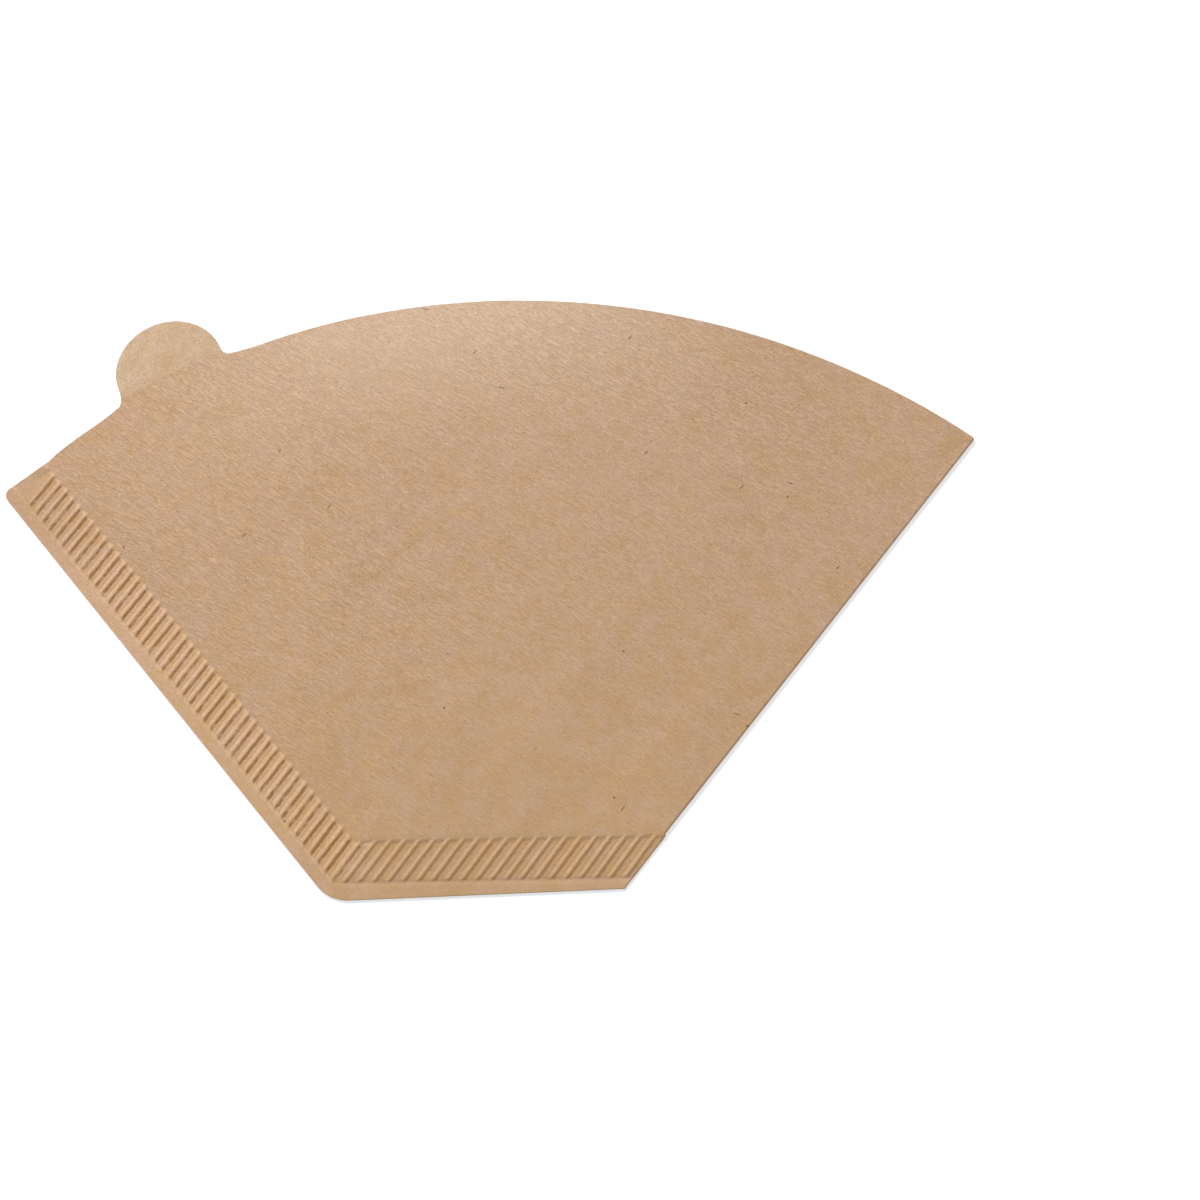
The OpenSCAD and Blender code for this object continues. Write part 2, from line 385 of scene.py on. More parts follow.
@dataclass
class PullTab:
    """Round tab that grows out of the back wall's mouth edge.

    The front wall is cut straight across the tab's neck, a little beyond its own mouth
    edge. A neck step is a distance beside the tab, and its share of how far the wall's
    edge stands out there.
    """

    plan: Outline
    radius: float = 9.2 * MM
    out: float = 5.4 * MM
    turn: float = 23.1
    root_r: float = 6.3 * MM
    rows: int = 20
    top_share: float = 0.6
    neck_out: float = 1.6 * MM
    neck_steps: tuple[tuple[float, float], ...] = (
        (-0.1 * MM, 1.0), (0.2 * MM, 0.74), (0.7 * MM, 0.38),
        (1.4 * MM, 0.28), (2.9 * MM, 0.14), (5.5 * MM, 0.0))

    def __post_init__(self) -> None:
        """Works out the tab's centre in the plan."""
        self.centre = self.plan.at_mouth(-self.turn, self.out)

    def root(self, side: int) -> tuple[Vector, float]:
        """Centre of the small arc at one side of the tab's root.

        Args:
            side: -1 for the root towards the crimped side, 1 for the other one.

        Returns:
            The arc's centre, and its angle on the mouth edge in degrees.
        """
        reach = self.plan.mouth_r + self.root_r
        out = self.plan.mouth_r + self.out
        span = self.radius + self.root_r
        bend = math.acos((reach ** 2 + out ** 2 - span ** 2) / (2 * reach * out))
        turn = side * math.degrees(bend) - self.turn
        return self.plan.at_mouth(turn, self.root_r), turn

    def neck_turns(self) -> list[float]:
        """Finds where the neck's steps lie along the mouth edge.

        Returns:
            Their angles in degrees, from the crimped side on.
        """
        turns = [math.degrees((self.radius + aside) / self.plan.mouth_r)
                 for aside, _ in self.neck_steps]
        return [-self.turn - turn for turn in reversed(turns)] + [
            turn - self.turn for turn in turns]

    def neck(self, turn: float) -> float:
        """How far the front wall's edge stands out beyond the mouth edge.

        Args:
            turn: angle on the mouth edge, in degrees.

        Returns:
            The distance in metres.
        """
        aside = math.radians(abs(turn + self.turn)) * self.plan.mouth_r - self.radius
        return self.neck_out * float(interp(aside, *zip(*self.neck_steps)))

    def rim(self, side: int, share: float) -> Vector:
        """Point on the tab's edge, from the root at one side (0) to its top (1).

        Args:
            side: which half of the edge.
            share: how far along that half.

        Returns:
            The point in the plan.
        """
        apex, (corner, _) = self.plan.apex, self.root(side)
        to_tab = (self.centre - corner).normalized()
        arcs = ((corner, self.root_r, (apex - corner).normalized(), to_tab),
                (self.centre, self.radius, -to_tab, (self.centre - apex).normalized()))
        lengths = [radius * abs(start.angle_signed(end)) for _, radius, start, end in arcs]
        at = share * sum(lengths)
        part = int(at >= lengths[0])
        middle, radius, arm, end = arcs[part]
        turned = arm.angle_signed(end) * (at - part * lengths[0]) / lengths[part]
        arm.rotate(Matrix.Rotation(-turned, 2))
        return middle + radius * arm


@dataclass
class FilterSheet:
    """The whole filter: one folded, crimped sheet with its pull tab.

    The place of the foot's edge along Y is given, and X is counted from its middle.
    """

    foot_y: float
    plan: Outline = field(default_factory=Outline)
    mouth: Mouth = field(default_factory=Mouth)
    paper_t: float = 0.2 * MM
    visible_t: float = 0.19 * MM
    slack: float = 0.27 * MM
    tip_rise: float = 4 * MM
    end_slide: float = 1 * MM
    mouth_cut: float = 0.15 * MM
    per_pitch: int = 8
    side_ratio: int = 4
    foot_ratio: int = 2
    bend_steps: int = 10
    weld: float = 0.001 * MM
    name: str = "filter_paper"

    def __post_init__(self) -> None:
        """Works out what the grids share: the flange's lines, the rows and the columns."""
        self.crimps = Crimps(self.plan)
        self.tab = PullTab(self.plan)
        self.closed_h = 2 * self.paper_t + self.slack
        self.fold_r = self.closed_h / 2
        self.lines, self.corner_line = self._lines()
        self.rows_up = self.corner_line // self.side_ratio
        self.columns = (len(self.lines) - 1 - self.corner_line) // self.foot_ratio
        self.insets = self._insets()
        self.mouth_turns = self._mouth_turns()

    # Stations and insets that the grids share

    def _lines(self) -> tuple[list[tuple[float, float, float]], int]:
        """Lines across the flange, from the mouth edge round to the fold.

        Returns:
            For each line its station, how far it is drawn to the mouth edge and how far to
            the fold, and the number of the line that passes the wall's inner corner.
        """
        pitch, start, parts = self.crimps.pitch, self.crimps.start, self.per_pitch
        corner = self.plan.station_of(self.plan.side_corner(self.crimps.wall_in))
        first = (start - 0.5 + 0.5 / parts) * pitch
        stations = [first + pitch / parts * i for i in range(self.crimps.count * parts)]
        nearest = min(range(len(stations)), key=lambda i: abs(stations[i] - corner))
        foot, side = stations[1:nearest], stations[nearest + 1:]
        towards_fold = self.foot_ratio + (-(len(foot) + 1)) % self.foot_ratio
        towards_mouth = self.side_ratio + (-len(side)) % self.side_ratio
        lines = [(side[-1], 1 - i / towards_mouth, 0.0) for i in range(towards_mouth)]
        lines += [(q, 0.0, 0.0) for q in reversed(side)]
        at_corner = len(lines)
        lines += [(corner, 0.0, 0.0)] + [(q, 0.0, 0.0) for q in reversed(foot)]
        lines += [(foot[0], 0.0, (i + 1) / towards_fold) for i in range(towards_fold)]
        return lines, at_corner

    def _insets(self) -> list[float]:
        """Works out where the flange's rows lie.

        Returns:
            Their insets, from the edge to the wall.
        """
        c, quarters = self.crimps, (0.25, 0.5, 0.75, 1)
        outer = [c.margin_w * sixths / 6 for sixths in (0, 1, 2, 3, 4, 6)]
        ramp = [c.margin_w + c.run_out * share for share in quarters]
        plain_end = c.band_in - c.step_w - c.run_out
        middle = [mix(ramp[-1], plain_end, share) for share in quarters]
        inner = [plain_end + c.run_out / 2, plain_end + c.run_out, c.band_in]
        step = [c.band_in + c.step_w * share for share in quarters]
        return outer + ramp + middle + inner + step

    def _mouth_turns(self) -> dict[Wall, Sequence[float]]:
        """Finds where every column of a wall meets the mouth edge.

        Returns:
            The angles, with the tab's two roots among the back wall's, and the steps of
            the neck among the front wall's.
        """
        low = self.plan.mouth_turn(self.crimps.wall_in) - self.plan.half_angle
        high = self.plan.half_angle - self.plan.mouth_turn(self.fold_r)
        roots = [self.tab.root(side)[1] for side in (-1, 1)]
        left, right = (round((turn - low) / (high - low) * self.columns) for turn in roots)
        self.tab_columns = (left, right)
        steps = self.tab.neck_turns()
        half = len(steps) // 2
        beside_neck = [*range(left, left + half), *range(right - half + 1, right + 1)]
        every, n = range(self.columns + 1), self.columns
        return {Wall.BACK: interp(every, [0, left, right, n], [low, *roots, high]),
                Wall.FRONT: interp(every, [0, *beside_neck, n], [low, *steps, high])}

    # Places on the outer face of the sheet

    def _fold_radius(self, inset: float) -> float:
        """Outer radius of the fold: the walls lie pressed together in the flange."""
        opened = smooth((inset - self.crimps.band_in) / self.crimps.step_w)
        return mix(self.paper_t, self.fold_r, opened)

    def _flange_point(self, line: int, inset: float) -> Vector:
        """Finds a place on one of the flange's lines, with the tip rounded.

        Args:
            line: number of the line.
            inset: distance from the crimped edges.

        Returns:
            The point in the plan.
        """
        margin = self.crimps.margin_w
        if inset >= margin:
            return self._line_point(line, inset)
        return self.plan.round_tip(mix(self._line_point(line, 0), self._line_point(line, margin),
                                       inset / margin))

    def _line_point(self, line: int, inset: float) -> Vector:
        """Finds a place on a line at the edge or inside the margin, with a sharp tip.

        Args:
            line: number of the line.
            inset: distance from the crimped edges.

        Returns:
            The point in the plan.
        """
        station, to_mouth, to_fold = self.lines[line]
        point = self.plan.on_line(station, inset)
        if to_mouth:
            turn = self.plan.mouth_turn(inset) - self.plan.half_angle
            point = mix(point, self.plan.at_mouth(turn), to_mouth)
        if to_fold:
            end = self.plan.fold_point(inset, self._fold_radius(inset))
            if inset == 0:
                end = Vector((end.x - end.y / math.tan(math.radians(self.plan.side_angle)), 0))
            point = mix(point, end, to_fold)
        return point

    def _round_fold(self, point: Vector, radius: float, share: float) -> Vector:
        """Finds a place on the outside of the fold.

        At the fold's two ends it slides along the fold, back to the cut edges' lines.

        Args:
            point: where the front wall meets the fold.
            radius: the fold's outer radius.
            share: how far round it is, from the front wall (0) to the back wall (1).

        Returns:
            The place on the sheet's outer face.
        """
        turn = math.pi * share
        reach = radius * math.sin(turn)
        up = heading(self.plan.side_angle)
        at_foot = clamp(1 - point.y / self.end_slide) * reach * self.plan.fold_in.y / up.y
        below_mouth = self.plan.mouth_r - (point - self.plan.apex).length
        at_mouth = clamp(1 - below_mouth / self.end_slide) * self.mouth_cut * math.sin(turn)
        out = point - self.plan.fold_in * reach + up * (at_foot - at_mouth)
        return Vector((out.x, out.y, radius * (1 + math.cos(turn))))

    def flange_place(self, column: float, row: float) -> Vector:
        """Place of a vertex of the flange's grid.

        Args:
            column: number along the edge, over the front wall, the fold and the back wall.
            row: number of the inset.

        Returns:
            The place on the sheet's outer face.
        """
        last = len(self.lines) - 1
        column, inset = round(column), self.insets[round(row)]
        if last < column < last + self.bend_steps:
            share = (column - last) / self.bend_steps
            return self._round_fold(self._flange_point(last, inset),
                                    self._fold_radius(inset), share)
        wall = Wall.FRONT if column <= last else Wall.BACK
        line = column if wall is Wall.FRONT else 2 * last + self.bend_steps - column
        point = self._flange_point(line, inset)
        c = self.crimps
        if wall is Wall.BACK:
            relief = c.relief(point, inset, c.band_in - c.step_w)
            return Vector((point.x, point.y, c.height * relief))
        relief = c.relief(point, inset)
        spread = self.tip_rise * smooth(self.lines[line][1])
        up = smooth((inset - c.band_in + spread) / (c.step_w + spread))
        height = max(2 * self.paper_t + c.height * relief,
                     mix(2 * self.paper_t, self.closed_h, up))
        return Vector((point.x, point.y, height))

    def _wall_plan(self, wall: Wall, column: float, row: float) -> tuple[Vector, float, float]:
        """Point of the plan inside a wall's four edges.

        Args:
            wall: which wall.
            column: number of the column, 0 at the crimped side.
            row: number of the row, 0 at the foot. A fraction is a line of the flange.

        Returns:
            The point, and its shares across and up the wall.
        """
        inset = self.crimps.wall_in
        across, up = column / self.columns, row / self.rows_up
        last = len(self.lines) - 1
        corner = self.corner_line
        left = self._flange_point(corner - round(row * self.side_ratio), inset)
        foot = self._flange_point(corner + round(column * self.foot_ratio), inset)
        turns = self.mouth_turns[wall]
        turn = turns[round(column)]
        a, b = self._flange_point(corner, inset), self._flange_point(last, inset)
        d, c = self._flange_point(0, inset), self.plan.at_mouth(turns[-1])
        beyond = self.tab.neck(turn) if wall is Wall.FRONT else 0.0
        top = self.plan.at_mouth(turn, beyond)
        right = mix(b, c, up)
        corners = mix(mix(a, b, across), mix(d, c, across), up)
        point = mix(foot, top, up) + mix(left, right, across) - corners
        share_top = (turn - turns[0]) / (turns[-1] - turns[0])
        return point, mix(across, share_top, up), up

    def wall_place(self, column: float, row: float) -> Vector:
        """Place of a vertex of the grid that covers both walls and the fold.

        Args:
            column: number across the front wall, round the fold and across the back wall.
            row: number up the wall.

        Returns:
            The place on the sheet's outer face.
        """
        n, bend = self.columns, self.bend_steps
        if n < column < n + bend:
            point, _, _ = self._wall_plan(Wall.FRONT, n, row)
            return self._round_fold(point, self.fold_r, (column - n) / bend)
        if column >= n + bend:
            point, _, _ = self._wall_plan(Wall.BACK, 2 * n + bend - column, row)
            return Vector((point.x, point.y, 0))
        point, share, up = self._wall_plan(Wall.FRONT, column, row)
        height = (self.closed_h + self.mouth.lift(share, up)
                  + self.mouth.waves(point, share, up, self.plan))
        return Vector((point.x, point.y, height))

    def tab_place(self, column: float, row: float) -> Vector:
        """Place of a vertex of the tab's grid, which starts on the mouth edge.

        Args:
            column: number across the tab, from the crimped side.
            row: number outwards from the mouth edge.

        Returns:
            The place on the sheet's outer face, which is its underside.
        """
        first, last = self.tab_columns
        tab, share = self.tab, self.tab.top_share
        across, out = column / (last - first), row / tab.rows
        base = self.plan.at_mouth(self.mouth_turns[Wall.BACK][first + round(column)])
        left, right = tab.rim(-1, out * share), tab.rim(1, out * share)
        top = tab.rim(-1 if across < 0.5 else 1, mix(share, 1, 1 - abs(2 * across - 1)))
        foot = mix(tab.rim(-1, 0), tab.rim(1, 0), across)
        shoulder = mix(tab.rim(-1, share), tab.rim(1, share), across)
        corners = mix(foot, shoulder, out)
        point = mix(base, top, out) + mix(left, right, across) - corners
        return Vector((point.x, point.y, 0))

    # Meshes

    @staticmethod
    def _grid(columns: int, rows: int) -> bmesh.types.BMesh:
        """Flat grid whose vertices lie at their column and row numbers.

        Args:
            columns: number of faces along X.
            rows: number of faces along Y.

        Returns:
            The new mesh.
        """
        mesh = bmesh.new()
        bmesh.ops.create_grid(mesh, x_segments=columns, y_segments=rows, size=0.5)
        bmesh.ops.translate(mesh, vec=(0.5, 0.5, 0), verts=mesh.verts)
        bmesh.ops.scale(mesh, vec=(columns, rows, 1), verts=mesh.verts)
        return mesh

    @staticmethod
    def _split(mesh: bmesh.types.BMesh, cuts: int,
               chosen: Callable[[Vector, Vector], bool]) -> None:
        """Splits the chosen edges evenly, so that a finer grid can be welded to them.

        Args:
            mesh: the grid.
            cuts: number of new vertices on each edge.
            chosen: tells by its two ends whether an edge is split.
        """
        edges = [e for e in mesh.edges if chosen(e.verts[0].co, e.verts[1].co)]
        bmesh.ops.subdivide_edges(mesh, edges=edges, cuts=cuts)

    @staticmethod
    def _join(target: bmesh.types.BMesh, part: bmesh.types.BMesh, place: Place) -> None:
        """Moves a grid's vertices to their places and adds it to the sheet.

        Args:
            target: the sheet's mesh.
            part: the grid, which is freed.
            place: gives a vertex its place from its column and row.
        """
        for vertex in part.verts:
            vertex.co = place(vertex.co.x, vertex.co.y)
        data = bpy.data.meshes.new("part")
        part.to_mesh(data)
        part.free()
        target.from_mesh(data)
        bpy.data.meshes.remove(data)

    def build(self) -> bpy.types.Object:
        """Makes the sheet as one closed mesh.

        Returns:
            The new object, with the sheet's place in its mesh.
        """
        sheet = bmesh.new()
        near = 0.001

        flange = self._grid(2 * (len(self.lines) - 1) + self.bend_steps, len(self.insets) - 1)
        self._join(sheet, flange, self.flange_place)

        width = 2 * self.columns + self.bend_steps
        walls = self._grid(width, self.rows_up)
        self._split(walls, self.side_ratio - 1, lambda p, q: (
            abs(p.x - q.x) < near and min(p.x, width - p.x) < near))
        self._split(walls, self.foot_ratio - 1, lambda p, q: (
            p.y < near and q.y < near
            and (max(p.x, q.x) < self.columns + near
                 or min(p.x, q.x) > self.columns + self.bend_steps - near)))
        self._join(sheet, walls, self.wall_place)

        tab = self._grid(self.tab_columns[1] - self.tab_columns[0], self.tab.rows)
        bmesh.ops.reverse_faces(tab, faces=tab.faces)
        self._join(sheet, tab, self.tab_place)

        bmesh.ops.remove_doubles(sheet, verts=sheet.verts, dist=self.weld)
        self._thicken(sheet)
        bmesh.ops.translate(sheet, vec=(0, self.foot_y, 0), verts=sheet.verts)
        data = bpy.data.meshes.new(self.name)
        sheet.to_mesh(data)
        sheet.free()
        return add_object(self.name, data)

    def _thicken(self, sheet: bmesh.types.BMesh) -> None:
        """Gives the outer face the paper's thickness and sorts the faces into finishes.

        Args:
            sheet: the mesh of the outer face.
        """
        outer = set(sheet.verts)
        bmesh.ops.solidify(sheet, geom=list(sheet.faces), thickness=self.visible_t)
        for face in sheet.faces:
            on_outside = sum(vertex in outer for vertex in face.verts)
            kind = (PaperFace.OUTSIDE if on_outside == len(face.verts)
                    else PaperFace.CUT if on_outside else PaperFace.INSIDE)
            face.material_index = kind.value
            face.smooth = True
        for edge in sheet.edges:
            edge.smooth = len({face.material_index for face in edge.link_faces}) == 1


def operation(kind: str, swapped: bool = False) -> Callable[["Maths", Operand], "Maths"]:
    """Makes an operator that adds a Math node.

    Args:
        kind: the node's operation.
        swapped: whether the other value comes first, as in a reflected operator.

    Returns:
        The operator, as a method of Maths.
    """
    def method(self: "Maths", other: Operand) -> "Maths":
        """Adds the node for this value and another one."""
        return self.apply(kind, other, self) if swapped else self.apply(kind, self, other)
    return method


class Maths:
    """A socket that Python's operators work on, adding the Math nodes they stand for.

    a.least(b) is the smaller one of two values, and a.above(b) is 1 where a is the larger
    one, else 0.
    """

    def __init__(self, tree: "NodeTree", socket: Socket) -> None:
        """Wraps an output socket of a node tree."""
        self.tree, self.socket = tree, socket

    def apply(self, kind: str, *values: Operand) -> "Maths":
        """Adds one Math node and wraps its result."""
        return self.tree.value("ShaderNodeMath", {"operation": kind}, dict(enumerate(values)))

    __add__, __radd__ = operation("ADD"), operation("ADD", swapped=True)
    __sub__, __rsub__ = operation("SUBTRACT"), operation("SUBTRACT", swapped=True)
    __mul__, __rmul__ = operation("MULTIPLY"), operation("MULTIPLY", swapped=True)
    __truediv__, __pow__ = operation("DIVIDE"), operation("POWER")
    least, above = operation("MINIMUM"), operation("GREATER_THAN")

    def __abs__(self) -> "Maths":
        """This value without its sign."""
        return self.apply("ABSOLUTE", self)

    def __round__(self) -> "Maths":
        """The whole number nearest to this value."""
        return self.apply("ROUND", self)

    def rising(self, start: Number, end: Number) -> "Maths":
        """Smooth step from 0 at start to 1 at end, which may be the lower number."""
        return self.tree.value("ShaderNodeMapRange", {"interpolation_type": "SMOOTHSTEP"},
                               {0: self, 1: start, 2: end})

    def past(self, line: Number, edge: tuple[Number, Number]) -> "Maths":
        """Smooth step across a line, from 0 to 1 between the edge's two places beside it."""
        return self.rising(line + edge[0], line + edge[1])

    def near(self, middle: Number, reach: Number) -> "Maths":
        """Soft hump: 1 at the middle, and 0 further than reach from it."""
        return abs(self - middle).rising(reach, 0)


class NodeTree:
    """A material's nodes, made by one method."""

    mix_colours = (6, 7)
    mix_result = 2

    def __init__(self, name: str) -> None:
        """Makes an empty material with its output node.

        Args:
            name: the material's name.
        """
        self.material = bpy.data.materials.new(name)
        self.material.use_nodes = True
        self.nodes = self.material.node_tree.nodes
        self.links = self.material.node_tree.links
        self.nodes.clear()
        self.output = self.add("ShaderNodeOutputMaterial")

    def add(self, kind: str, settings: Optional[dict] = None,
            sockets: Optional[dict] = None) -> bpy.types.Node:
        """Adds a node.

        Args:
            kind: Blender's name for the node's type.
            settings: its properties, which are set before anything else.
            sockets: values or links for its inputs, by name or number.

        Returns:
            The new node.
        """
        node = self.nodes.new(kind)
        for key, value in (settings or {}).items():
            setattr(node, key, value)
        for key, value in (sockets or {}).items():
            value = getattr(value, "socket", value)
            if isinstance(value, Socket):
                self.links.new(value, node.inputs[key])
            else:
                node.inputs[key].default_value = value
        return node

    def value(self, kind: str, settings: dict, sockets: dict,
              output: Union[int, str] = 0) -> Maths:
        """Adds a node and wraps one of its outputs for shader maths."""
        return Maths(self, self.add(kind, settings, sockets).outputs[output])

    def blend(self, share: Maths, low: Tint, high: Tint) -> Socket:
        """Mixes two colours.

        Args:
            share: how much of the second colour there is, from 0 to 1.
            low: the first colour, or a socket that gives it.
            high: the second one.

        Returns:
            The socket with the result.
        """
        colours = {at: (*tint, 1.0) if isinstance(tint, tuple) else tint
                   for at, tint in zip(self.mix_colours, (low, high))}
        node = self.add("ShaderNodeMix", {"data_type": "RGBA", "clamp_factor": True},
                        {0: share, **colours})
        return node.outputs[self.mix_result]

    def shade(self, colour: Socket, factor: Maths) -> Socket:
        """Makes a colour lighter or darker by a factor."""
        return self.add("ShaderNodeVectorMath", {"operation": "SCALE"},
                        {0: colour, "Scale": factor}).outputs[0]

    def surface(self, sockets: dict) -> bpy.types.Material:
        """Adds the shader, which finishes the material.

        Args:
            sockets: values or links for the shader's inputs, by name.

        Returns:
            The finished material.
        """
        shader = self.add("ShaderNodeBsdfPrincipled", {}, sockets)
        self.links.new(shader.outputs[0], self.output.inputs[0])
        return self.material


@dataclass(frozen=True)
class Cloud:
    """Cloudy pattern: the length and width of its blotches in metres, their direction against
    +X in degrees, how many finer patterns are laid over it, how much it is distorted, a
    number that shifts it, and the part of its range that is spread over 0 to 1, if not all
    of it."""

    length: float
    width: float
    turn: float = 0.0
    detail: float = 2.0
    waver: float = 0.0
    seed: float = 0.0
    span: Optional[tuple[float, float]] = None


@dataclass(frozen=True)
class Threads:
    """Scattered short fibres: the mean distance between them across their length and half
    their width in metres, their direction against +X in degrees, and how many times longer
    than wide they are."""

    every: float
    half: float
    turn: float
    stretch: float


class PlanPlace:
    """Where a shaded point lies in the sheet's plan, in millimetres, and the patterns that
    are fixed to the paper."""

    noise_roughness = 0.6
    threads_kept = 0.5

    def __init__(self, tree: NodeTree, sheet: FilterSheet) -> None:
        """Adds the nodes that read the place.

        Args:
            tree: the material.
            sheet: the sheet that it is for.
        """
        self.tree, self.sheet = tree, sheet
        self.place = tree.add("ShaderNodeTexCoord").outputs["Object"]
        split = tree.add("ShaderNodeSeparateXYZ", {}, {0: self.place})
        self.x = Maths(tree, split.outputs[0]) / MM
        self.y = (Maths(tree, split.outputs[1]) - sheet.foot_y) / MM

    def beyond(self, origin: Vector, direction: Vector) -> Maths:
        """How far the point lies from an origin along a direction, in millimetres."""
        start = origin.dot(direction) / MM
        return self.x * direction.x + self.y * direction.y - start

    def past_mouth(self) -> Maths:
        """Measures how far the point lies from the mouth edge's arc.

        Returns:
            The distance in millimetres, above 0 outside the arc.
        """
        apex = self.sheet.plan.apex / MM
        x, y = self.x - apex.x, self.y - apex.y
        return (x * x + y * y) ** 0.5 - self.sheet.plan.mouth_r / MM

    def cloud(self, kind: Cloud) -> Maths:
        """Draws a cloudy pattern.

        Args:
            kind: its sizes and direction.

        Returns:
            A value from 0 to 1, with 0.5 in its middle unless it has a span.
        """
        pattern = self.tree.value("ShaderNodeTexNoise", {"noise_dimensions": "3D"}, {
            "Vector": self._scaled(kind.turn, kind.length, kind.width, kind.seed),
            "Scale": 1.0, "Detail": kind.detail, "Roughness": self.noise_roughness,
            "Distortion": kind.waver}, "Fac")
        return pattern.rising(*kind.span) if kind.span else pattern

    def threads(self, kind: Threads) -> Maths:
        """Scattered fibres, of which some are left out.

        Args:
            kind: their sizes and direction.

        Returns:
            1 on a fibre and 0 elsewhere.
        """
        cells = self.tree.add("ShaderNodeTexVoronoi", {"voronoi_dimensions": "2D"}, {
            "Vector": self._scaled(kind.turn, kind.every * kind.stretch, kind.every),
            "Scale": 1.0})
        chance = self.tree.add("ShaderNodeSeparateXYZ", {}, {0: cells.outputs["Color"]})
        edge = kind.half / kind.every
        inside = Maths(self.tree, cells.outputs["Distance"]).rising(edge, edge / 2)
        return inside * Maths(self.tree, chance.outputs[0]).above(1 - self.threads_kept)

    def _scaled(self, turn: float, length: float, width: float,
                shift: float = 0.0) -> Socket:
        """Turns and scales the place to the axes of a pattern.

        Args:
            turn: direction of the pattern's length against +X, in degrees.
            length: size that becomes 1 along that direction.
            width: size that becomes 1 across it.
            shift: how far the pattern is shifted.

        Returns:
            The socket with the new place.
        """
        return self.tree.add("ShaderNodeMapping", {"vector_type": "TEXTURE"}, {
            0: self.place, "Location": (shift, shift, shift),
            "Rotation": (0, 0, math.radians(turn)), "Scale": (length, width, width)}).outputs[0]


def linear(red: Number, green: Number, blue: Number) -> Colour:
    """Works out the linear colour of a display colour.

    Args:
        red: the display colour's first channel, from 0 to 255.
        green: its second channel.
        blue: its third channel.

    Returns:
        The linear colour, from 0 to 1.
    """
    def one(value: Number) -> float:
        """Linear value of one channel."""
        share = value / 255
        return share / 12.92 if share <= 0.04045 else ((share + 0.055) / 1.055) ** 2.4
    return one(red), one(green), one(blue)


def grown(least: float, share: Maths) -> Maths:
    """Weight that grows from the least one to 1 with a share."""
    return least + (1 - least) * share


@dataclass(frozen=True)
class PaperFinish:
    """What all the finishes of the paper share."""

    name: str = "paper"
    specular: float = 0.12

    def paint(self, at: PlanPlace) -> Paint:
        """Colour, height in metres and roughness of the paper at a place."""
        raise NotImplementedError

    def make(self, sheet: FilterSheet) -> bpy.types.Material:
        """Makes the material.

        Args:
            sheet: the sheet that it is for, which gives the places of its crimps.

        Returns:
            The new material.
        """
        tree = NodeTree(self.name)
        colour, height, roughness = self.paint(PlanPlace(tree, sheet))
        bump = tree.add("ShaderNodeBump", {}, {"Strength": 1.0, "Distance": 1.0,
                                               "Height": height})
        return tree.surface({
            "Base Color": colour, "Normal": bump.outputs[0], "Roughness": roughness,
            "Specular IOR Level": self.specular})


@dataclass(frozen=True)
class Stripe:
    """Soft stripe beside every stroke: its shift from the stroke's axis towards the left tip
    in pitches, half its width in millimetres, and how strongly it shows."""

    shift: float
    half: float
    share: float = 1.0


class CrimpMarks:
    """Where the crimp strokes are, as values of a material.

    The band's soft edges are in millimetres, and the one beside the last stroke in strokes.
    """

    wavering = Cloud(1.3 * MM, 0.5 * MM, Outline.stroke_angle, seed=0.8)
    soft_edge = 0.12
    outer_edge = (-0.1, 0.5)
    inner_edge = (0.15, -0.3)
    last_edge = (-0.4, -0.6)

    def __init__(self, at: PlanPlace, waver: float) -> None:
        """Adds the nodes that find the strokes.

        Args:
            at: the shaded point's place.
            waver: how far the strokes' edges wander, in millimetres.
        """
        plan, crimps = at.sheet.plan, at.sheet.crimps
        self.margin, self.band_in = crimps.margin_w / MM, crimps.band_in / MM
        self.pitch = crimps.pitch / MM
        self.inset = at.beyond(plan.crimp_corner, plan.side_in).least(
            at.beyond(Vector((0, 0)), plan.foot_in))
        self.number = at.beyond(plan.fold_corner, plan.across) / self.pitch - crimps.start
        corner = plan.station_of(plan.crimp_corner) / MM / self.pitch - crimps.start
        self.on_side = self.number.above(corner)
        self.on_foot = 1 - self.on_side
        self.wander = (at.cloud(self.wavering) - 0.5) * waver
        self.band = (self.inset.past(self.margin, self.outer_edge)
                     * self.inset.past(self.band_in, self.inner_edge)
                     * self.number.past(crimps.count, self.last_edge))

    def stripe(self, kind: Stripe) -> Maths:
        """Draws a soft stripe beside every stroke.

        Args:
            kind: the stripe's place, width and share.

        Returns:
            The stripe's share inside it, and 0 between the stripes.
        """
        off = self.number - kind.shift
        aside = abs(off - round(off)) * self.pitch + self.wander
        return aside.past(kind.half, (self.soft_edge, -self.soft_edge)) * kind.share

    def from_outside(self, hump: tuple[Number, Number]) -> Maths:
        """Soft hump at the band's outer edge, of a given shift inwards and reach."""
        return self.inset.near(self.margin + hump[0], hump[1])

    def from_inside(self, hump: tuple[Number, Number]) -> Maths:
        """Soft hump at the band's inner edge, of a given shift inwards and reach."""
        return self.inset.near(self.band_in + hump[0], hump[1])


